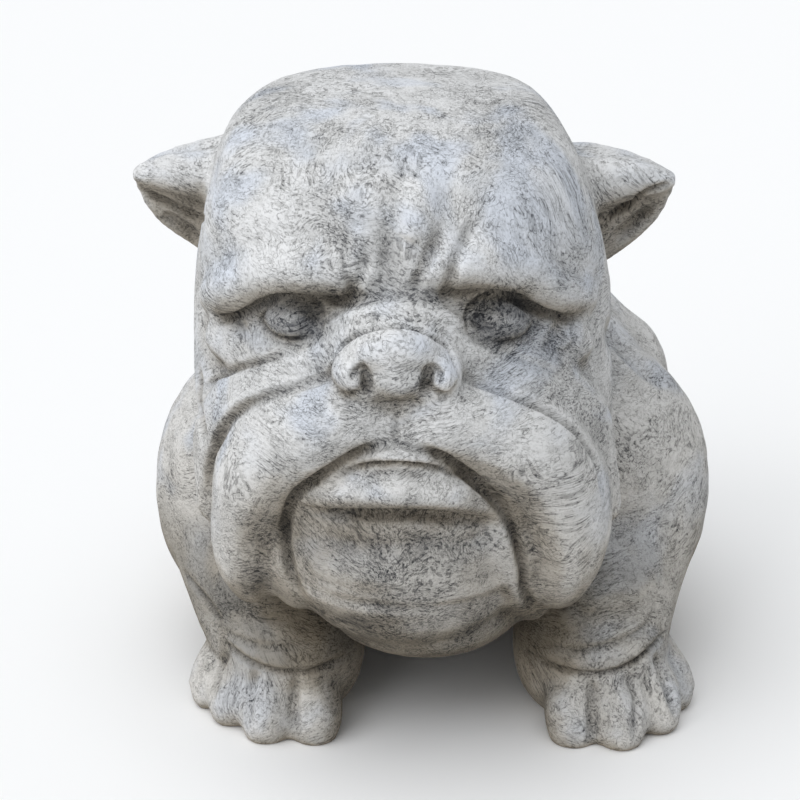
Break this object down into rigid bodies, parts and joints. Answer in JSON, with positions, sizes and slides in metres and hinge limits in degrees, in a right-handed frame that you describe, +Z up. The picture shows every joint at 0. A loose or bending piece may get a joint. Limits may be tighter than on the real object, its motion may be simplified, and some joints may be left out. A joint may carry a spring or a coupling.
{
  "type": "garden statue",
  "caption": "Cast stone-effect garden statue of a seated bulldog with an oversized head, heavy jowls and short bowed forelegs.",
  "frame": {"origin": "middle of the statue's outline at ground level, under its soles", "axes": "+Z up, the dog faces -Y, +Y runs from its nose to its rump"},
  "size_m": [0.4484, 0.5482, 0.491],
  "materials": {
    "stone": "matte, dark grey stone colour brushed over with an off-white wash"
  },
  "bodies": {
    "root": {"bulldog": "stone"}
  },
  "joints": []
}
